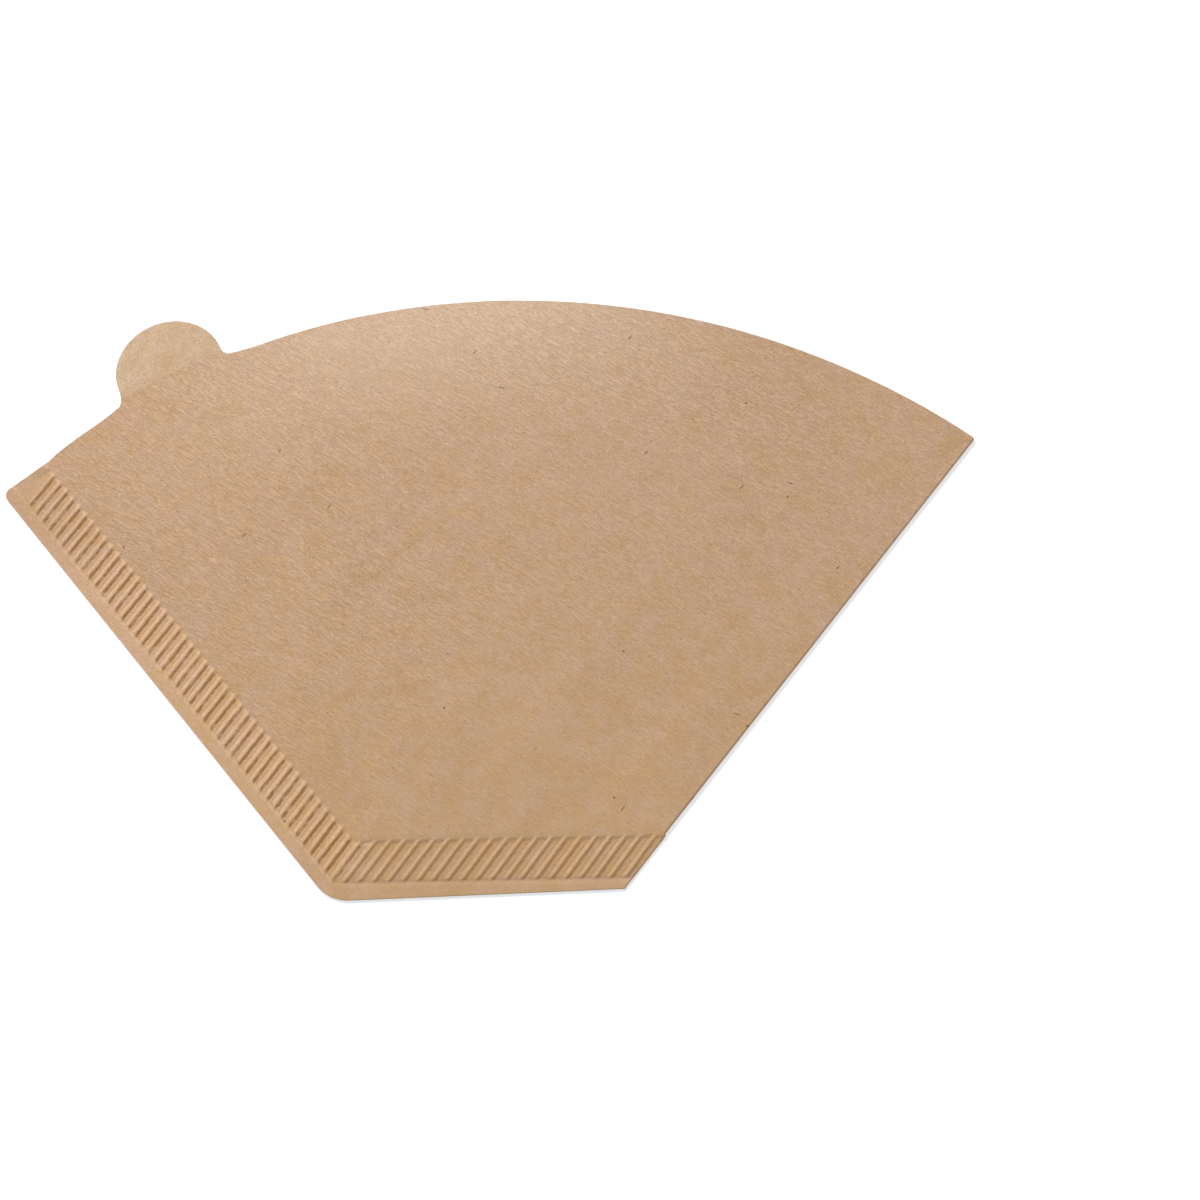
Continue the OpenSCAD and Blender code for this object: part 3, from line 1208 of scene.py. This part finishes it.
@dataclass(frozen=True)
class CrepedPaper(PaperFinish):
    """The sheet's outside: slanting crepe wrinkles, and the pressed crimps with their marks.

    The paper is mottled pink and ochre, pinker towards the mouth, with painted light that
    makes it paler towards the middle of the mouth. The wrinkles and soft folds carry painted
    light and shade, and a painted highlight runs along the rounded fold. Between the crimp
    strokes it is darker, partly as pressed paper and partly as painted shade, and painted
    highlights lie on the crests, the ridge ends and the foot's lip. A tone is how much
    lighter or darker a pattern or a mark makes the colour, and a stain how much of another
    colour it adds. A pair of places says where a value is 0 and where it is 1: in
    millimetres along X or Y, inwards from an edge or outwards from the mouth's arc, or in
    strokes from the fold. The bend, starts, ends and top are soft humps instead, each with
    its shift inwards and its reach.
    """

    name: str = "creped_outside"
    pink: Colour = linear(191, 158, 131)
    ochre: Colour = linear(188, 153, 114)
    # Colour of the painted light towards the middle of the mouth
    lit_pale: Colour = linear(208, 181, 155)
    fleck: Colour = linear(164, 124, 84)
    # Pressed paper's darker colour, which also stands for painted shade in the grooves and
    # channels
    pressed: Colour = linear(163, 117, 65)
    shadowed: Colour = linear(156, 112, 66)
    fibre: Colour = linear(92, 66, 46)

    wrinkles: Cloud = Cloud(1.75 * MM, 0.33 * MM, -38.0, waver=1.0, span=(0.3, 0.7))
    wrinkle_share: tuple[float, float, float] = (0.35, 0.5, 0.15)
    least_in_band: float = 0.4
    calm_w: float = 1.5
    wrinkle_depth: float = 0.056 * MM
    # Painted light and shade on the wrinkles: lighter crests, darker troughs
    wrinkle_light_and_shade: float = 0.21
    grain: Cloud = Cloud(0.3 * MM, 0.3 * MM, detail=1.0, seed=0.3)
    grain_depth: float = 0.016 * MM
    grain_tone: float = 0.42
    least_grain: float = 0.65
    # Painted light and shade of soft folds in the lower wall
    folds: Cloud = Cloud(24 * MM, 4.5 * MM, 62.0, 1.0, seed=0.62)
    fold_shading_tone: float = 0.11
    patches: Cloud = Cloud(26 * MM, 26 * MM, detail=1.0, seed=0.2)
    mottle: Cloud = Cloud(3.2 * MM, 3.2 * MM, detail=3.0, seed=0.7)
    mottle_tint: float = 2.6
    pink_share: tuple[float, float] = (0.22, 0.43)
    flecks: Cloud = Cloud(0.8 * MM, 0.5 * MM, -38.0, 1.0, seed=0.15, span=(0.64, 0.8))
    fleck_stain: float = 0.5
    upper_y: tuple[float, float] = (0, 62)
    left_x: tuple[float, float] = (30, -45)
    fold_y: tuple[float, float] = (45, 15)
    lit_out: tuple[float, float] = (-30, 4)
    lit_x: float = -4
    lit_reach: tuple[float, float] = (62, 4)
    lit_share: float = 0.85
    # Painted highlight along the rounded fold
    bend: tuple[float, float] = (0.2, 1.8)
    fold_highlight_tone: float = 0.07
    right_x: tuple[float, float] = (50, 70)
    right_tone: float = 0.03
    rim_in: tuple[float, float] = (9, 7)
    rim_y: tuple[float, float] = (2, 12)
    rim_top_y: tuple[float, float] = (52, 70)
    rim_tone: float = 0.05
    rim_top_tone: float = 0.12
    threads: tuple[Threads, ...] = (
        Threads(21 * MM, 0.22 * MM, -60.0, 1.3), Threads(11 * MM, 0.13 * MM, 50.0, 5.0),
        Threads(13 * MM, 0.12 * MM, -20.0, 6.0))
    thread_stain: float = 0.7

    speckles: Cloud = Cloud(0.7 * MM, 0.3 * MM, Outline.stroke_angle, seed=0.5)
    breaks: Cloud = Cloud(
        1.7 * MM, 1.1 * MM, Outline.stroke_angle, 1.0, seed=0.33, span=(0.33, 0.52))
    least_groove: float = 0.3
    streaks: Cloud = Cloud(2.2 * MM, 0.26 * MM, Outline.stroke_angle, seed=0.45)
    streak_depth: float = 0.05 * MM
    groove_depth: float = 0.05 * MM
    waver: float = 0.55
    groove: Stripe = Stripe(-0.25, 0.22)
    # Painted highlight on the side's crests
    crest: Stripe = Stripe(0.1, 0.16, 0.06)
    crease: Stripe = Stripe(0.42, 0.14, 0.3)
    open_end: Stripe = Stripe(-0.26, 0.3)
    # Painted highlight on the foot's ridges
    ridge_highlight: Stripe = Stripe(0.03, 0.2, 0.07)
    ridge_top: Stripe = Stripe(0.03, 0.22)
    ridge_tip: Stripe = Stripe(0.03, 0.3)
    ridge_foot: Stripe = Stripe(0.03, 0.36)
    # Painted shade on each foot ridge's shaded flank, towards the fold
    beside: Stripe = Stripe(-0.2, 0.16, 0.5)
    under_light: Stripe = Stripe(0.5, 0.08, 0.1)
    under_dark: Stripe = Stripe(0.36, 0.07, 0.35)
    under_strokes: tuple[float, float] = (12, 6)
    side_start: tuple[float, float] = (0.0, 0.5)
    side_end: tuple[float, float] = (0.1, 0.5)
    foot_start: tuple[float, float] = (-0.3, 0.6)
    foot_end: tuple[float, float] = (0.4, 0.6)
    foot_top: tuple[float, float] = (0.05, 0.5)
    side_tone: float = 0.03
    # Painted highlights at the ridge ends and along the foot's lip
    end_highlight_tone: float = 0.15
    lip_highlight_tone: float = 0.08
    speckle_tone: float = 0.55
    # Shares of the pressed paper's colour, partly painted shade, in the side's grooves and the
    # foot's channels
    groove_press_and_shade: float = 0.85
    channel_press_and_shade: float = 0.16
    press_and_shade_share: tuple[float, float] = (0.1, 1.8)
    top_shadow: float = 0.4
    roughness: float = 0.94
    groove_gloss: float = 0.12

    def paint(self, at: PlanPlace) -> Paint:
        """Colour, relief and roughness of the creped paper.

        Args:
            at: the shaded point's place.

        Returns:
            The colour's socket, the height in metres and the roughness.
        """
        tree, marks = at.tree, CrimpMarks(at, self.waver)
        wrinkles, grain = at.cloud(self.wrinkles), at.cloud(self.grain)
        upper, left = at.y.rising(*self.upper_y), at.x.rising(*self.left_x)
        calm = grown(self.least_in_band, marks.inset.past(marks.band_in, (0, self.calm_w)))
        everywhere, by_height, by_side = self.wrinkle_share
        strength = ((everywhere + by_height * upper + by_side * left)
                    * (0.5 + at.cloud(self.patches)) * calm)
        # Painted light and shade of soft folds, in broad slanting bands across the lower wall
        folds = (at.cloud(self.folds) - 0.5) * at.y.rising(*self.fold_y)
        # Painted light and shade: lighter wrinkle crests and darker troughs over their bumps; the
        # grain's tone is the paper's own
        tone = (1 + folds * self.fold_shading_tone + (wrinkles - 0.5) * self.wrinkle_light_and_shade * strength
                + (grain - 0.5) * self.grain_tone * grown(self.least_grain, upper))
        colour = tree.shade(self._sheet_colour(at, upper), tone)

        speckle = at.cloud(self.speckles)
        broken = grown(self.least_groove, at.cloud(self.breaks))
        groove = marks.band * marks.on_side * marks.stripe(self.groove) * broken
        colour = self._crimp_colour(tree, marks, groove, speckle, colour)
        threads = sum(at.threads(kind) for kind in self.threads)
        colour = tree.blend(threads.least(1) * self.thread_stain, colour, self.fibre)

        height = (wrinkles * self.wrinkle_depth * strength + grain * self.grain_depth
                  + marks.band * (at.cloud(self.streaks) + speckle) * self.streak_depth
                  - groove * self.groove_depth)
        return colour, height, self.roughness - self.groove_gloss * groove

    def _sheet_colour(self, at: PlanPlace, upper: Maths) -> Socket:
        """Colour of the plain paper.

        Args:
            at: the shaded point's place.
            upper: 0 at the foot to 1 towards the mouth.

        Returns:
            The socket with the colour.
        """
        tree, plan = at.tree, at.sheet.plan
        low, by_height = self.pink_share
        pinker = (at.cloud(self.mottle) - 0.5) * self.mottle_tint + low + by_height * upper
        colour = tree.blend(pinker, self.ochre, self.pink)
        # Painted light: paler towards the mouth's middle, lit from under the open front wall
        lit = (at.past_mouth().rising(*self.lit_out)
               * abs(at.x - self.lit_x).rising(*self.lit_reach))
        colour = tree.blend(lit * self.lit_share, colour, self.lit_pale)
        colour = tree.blend(at.cloud(self.flecks) * self.fleck_stain, colour, self.fleck)
        # Painted highlight: a lighter band along the rounded fold
        bend = at.beyond(plan.fold_corner, plan.fold_in).near(*self.bend)
        rim = (at.beyond(plan.crimp_corner, plan.side_in).rising(*self.rim_in)
               * at.y.rising(*self.rim_y))
        rim_tone = self.rim_tone - self.rim_top_tone * at.y.rising(*self.rim_top_y)
        return tree.shade(colour, 1 + self.fold_highlight_tone * bend
                          + self.right_tone * at.x.rising(*self.right_x) + rim_tone * rim)

    def _crimp_colour(self, tree: NodeTree, marks: CrimpMarks, groove: Maths, speckle: Maths,
                      colour: Socket) -> Socket:
        """Marks of the crimps, laid over the paper's colour: painted highlights on the crests,
        the ridges, their ends and the foot's lip, the pressed paper's darker colour, which is
        partly painted shade in the grooves, the channels and beside the foot's ridges, and a
        painted shadow under the wall's step.

        On the foot, strokes of the wall underneath show faintly between the first ones.

        Args:
            tree: the material.
            marks: where the crimps are.
            groove: 1 in the side's narrow grooves.
            speckle: speckles of the pressed paper.
            colour: the paper's colour.

        Returns:
            The socket with the new colour.
        """
        foot, side = marks.band * marks.on_foot, marks.band * marks.on_side
        under = foot * marks.number.rising(*self.under_strokes)
        # Where painted highlights go: at the strokes' ends and along the foot's lip
        side_end_highlights = marks.on_side * (1 - marks.stripe(self.open_end)) * (
            marks.from_outside(self.side_start) + marks.from_inside(self.side_end))
        foot_end_highlights = (marks.on_foot * marks.stripe(self.ridge_tip)
                     * marks.from_inside(self.foot_end))
        lip_highlight = marks.on_foot * marks.from_outside(self.foot_start)
        # Painted highlights on the side's crests and the foot's ridges, and at the ridge ends and
        # the lip; speckles vary the pressed paper's own tone
        colour = tree.shade(colour, (
            1 + side * (self.side_tone + marks.stripe(self.crest))
            + foot * marks.stripe(self.ridge_highlight) + under * marks.stripe(self.under_light)
            + self.end_highlight_tone * (side_end_highlights + foot_end_highlights) + self.lip_highlight_tone * lip_highlight
            + self.speckle_tone * marks.band * (speckle - 0.5)))

        # The pressed paper's darker colour, partly painted shade: in the side's grooves, beside
        # the foot's ridges and in the foot's channels
        channels = 1 - marks.stripe(self.ridge_foot)
        stain = (self.groove_press_and_shade * groove + side * marks.stripe(self.crease)
                 + foot * (self.channel_press_and_shade * channels + marks.stripe(self.beside))
                 + under * marks.stripe(self.under_dark))
        least, by_speckle = self.press_and_shade_share
        colour = tree.blend(stain * (least + by_speckle * speckle), colour, self.pressed)
        top = (marks.on_foot * (1 - marks.stripe(self.ridge_top))
               * marks.from_inside(self.foot_top))
        return tree.blend(self.top_shadow * top, colour, self.shadowed)


@dataclass(frozen=True)
class SmoothPaper(PaperFinish):
    """The sheet's smoother inside, which shows on the tab: yellower and softly mottled, with
    a painted shadow on the tab next to the front wall's edge.
    """

    name: str = "smooth_inside"
    straw: Colour = linear(188, 158, 123)
    sand: Colour = linear(196, 172, 148)
    shadow: Colour = linear(170, 136, 97)
    mottle: Cloud = Cloud(2.6 * MM, 2.2 * MM, 40.0, 3.0, seed=0.1)
    grain: Cloud = Cloud(0.32 * MM, 0.26 * MM, 70.0, seed=0.4)
    grain_depth: float = 0.02 * MM
    grain_tone: float = 0.8
    mottle_tint: float = 1.9
    mottle_tone: float = 0.1
    neck_out: tuple[float, float] = (4.2, 0.8)
    neck_shadow_share: float = 0.55
    roughness: tuple[float, float] = (0.85, 0.1)

    def paint(self, at: PlanPlace) -> Paint:
        """Colour, relief and roughness of the smooth paper.

        Args:
            at: the shaded point's place.

        Returns:
            The colour's socket, the height in metres and the roughness.
        """
        tree, mottle, grain = at.tree, at.cloud(self.mottle), at.cloud(self.grain)
        colour = tree.blend((mottle - 0.5) * self.mottle_tint + 0.5, self.straw, self.sand)
        # Painted shadow on the tab near the mouth edge, where the front wall's edge overhangs it
        beside_wall = at.past_mouth().rising(*self.neck_out)
        colour = tree.blend(beside_wall * self.neck_shadow_share, colour, self.shadow)
        colour = tree.shade(colour, (1 + (grain - 0.5) * self.grain_tone
                                     + (mottle - 0.5) * self.mottle_tone))
        least, by_mottle = self.roughness
        return colour, grain * self.grain_depth, least + by_mottle * mottle


@dataclass(frozen=True)
class CutEdge(PaperFinish):
    """The paper's cut edge: a little darker, with loose fibre ends."""

    name: str = "cut_edge"
    core: Colour = linear(168, 136, 102)
    ends: Colour = linear(194, 164, 130)
    fibres: Cloud = Cloud(0.35 * MM, 0.12 * MM, detail=3.0, seed=0.6)
    fibre_depth: float = 0.03 * MM
    fibre_tint: float = 3
    roughness: tuple[float, float] = (0.85, 0.1)

    def paint(self, at: PlanPlace) -> Paint:
        """Colour, relief and roughness of the cut edge.

        Args:
            at: the shaded point's place.

        Returns:
            The colour's socket, the height in metres and the roughness.
        """
        fibres = at.cloud(self.fibres)
        colour = at.tree.blend((fibres - 0.5) * self.fibre_tint + 0.5, self.core, self.ends)
        least, by_fibres = self.roughness
        return colour, fibres * self.fibre_depth, least + by_fibres * fibres


@dataclass(frozen=True)
class Studio:
    """Plain pale floor, soft light from above the mouth, and the photograph's camera."""

    foot_y: float
    tilt: float = -24.87
    yaw: float = -5.83
    roll: float = 0.517
    aim: tuple[float, float, float] = (18.80 * MM, 44.97 * MM, 430.0 * MM)
    field_of_view: float = 24.0
    floor_half: float = 3.0
    floor_gap: float = 0.05 * MM
    floor_white: Colour = (0.60, 0.63, 0.68)
    floor_glow: float = 0.5
    sky: float = 0.5
    sky_tint: Colour = (0.95, 0.985, 1.05)
    key_from: tuple[float, float] = (120.0, 40.0)
    key_distance: float = 0.9
    key_size: float = 0.3
    key_power: float = 8.0
    key_tint: Colour = (1.04, 1.0, 0.95)

    def camera(self) -> None:
        """Places the scene's camera: its angles and aim are counted from the foot."""
        turn = (Matrix.Rotation(math.radians(-self.yaw), 4, "Y")
                @ Matrix.Rotation(math.radians(-self.tilt), 4, "X")
                @ Matrix.Rotation(math.radians(-self.roll), 4, "Z"))
        lens = bpy.data.cameras.new("camera")
        lens.sensor_fit = "HORIZONTAL"
        lens.angle = math.radians(self.field_of_view)
        eye = add_object("camera", lens)
        eye.matrix_world = (Matrix.Translation((0, self.foot_y, 0)) @ turn
                            @ Matrix.Translation(Vector(self.aim)))
        bpy.context.scene.camera = eye

    def floor(self) -> None:
        """Makes the floor, which isn't part of the object."""
        mesh = bmesh.new()
        bmesh.ops.create_grid(mesh, x_segments=1, y_segments=1, size=self.floor_half)
        bmesh.ops.translate(mesh, vec=(0, 0, -self.floor_gap), verts=mesh.verts)
        data = bpy.data.meshes.new("floor")
        mesh.to_mesh(data)
        mesh.free()
        floor = add_object("floor", data)
        data.materials.append(NodeTree("floor").surface({
            "Base Color": (*self.floor_white, 1), "Roughness": 0.9, "Specular IOR Level": 0.1,
            "Emission Color": (1, 1, 1, 1), "Emission Strength": self.floor_glow}))
        floor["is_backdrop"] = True

    def key(self) -> None:
        """Makes the soft square lamp, which faces the object."""
        azimuth, elevation = self.key_from
        flat, high = heading(elevation)
        towards = Vector((*(flat * heading(azimuth)), high))
        light = bpy.data.lights.new("key", "AREA")
        light.shape = "SQUARE"
        light.size = self.key_size
        light.energy = self.key_power
        light.color = self.key_tint
        lamp = add_object("key", light)
        lamp.location = self.key_distance * towards
        lamp.rotation_euler = towards.to_track_quat("Z", "Y").to_euler()

    def build(self) -> None:
        """Makes the sky, the floor, the lamp and the camera."""
        world = bpy.data.worlds.new("studio")
        world.use_nodes = True
        background = world.node_tree.nodes["Background"]
        background.inputs[0].default_value = (*self.sky_tint, 1)
        background.inputs[1].default_value = self.sky
        bpy.context.scene.world = world
        bpy.context.scene.view_settings.view_transform = "Standard"
        self.floor()
        self.key()
        self.camera()


def main() -> None:
    """Builds the filter and its studio, and reports each piece."""
    logging.basicConfig(level=logging.INFO, format="%(name)s: %(message)s")
    foot_y = CAD_BOX[0].y
    sheet = FilterSheet(foot_y)
    piece = sheet.build()
    finishes = {PaperFace.OUTSIDE: CrepedPaper(), PaperFace.INSIDE: SmoothPaper(),
                PaperFace.CUT: CutEdge()}
    for face in PaperFace:
        piece.data.materials.append(finishes[face].make(sheet))
    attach(piece, "root")
    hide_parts("filter")
    LOG.info("%s: %d faces", piece.name, len(piece.data.polygons))
    Studio(foot_y).build()
    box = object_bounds()
    [list(corner) for corner in CAD_BOX]
    [list(corner) for corner in box]


if __name__ == "__main__":
    main()
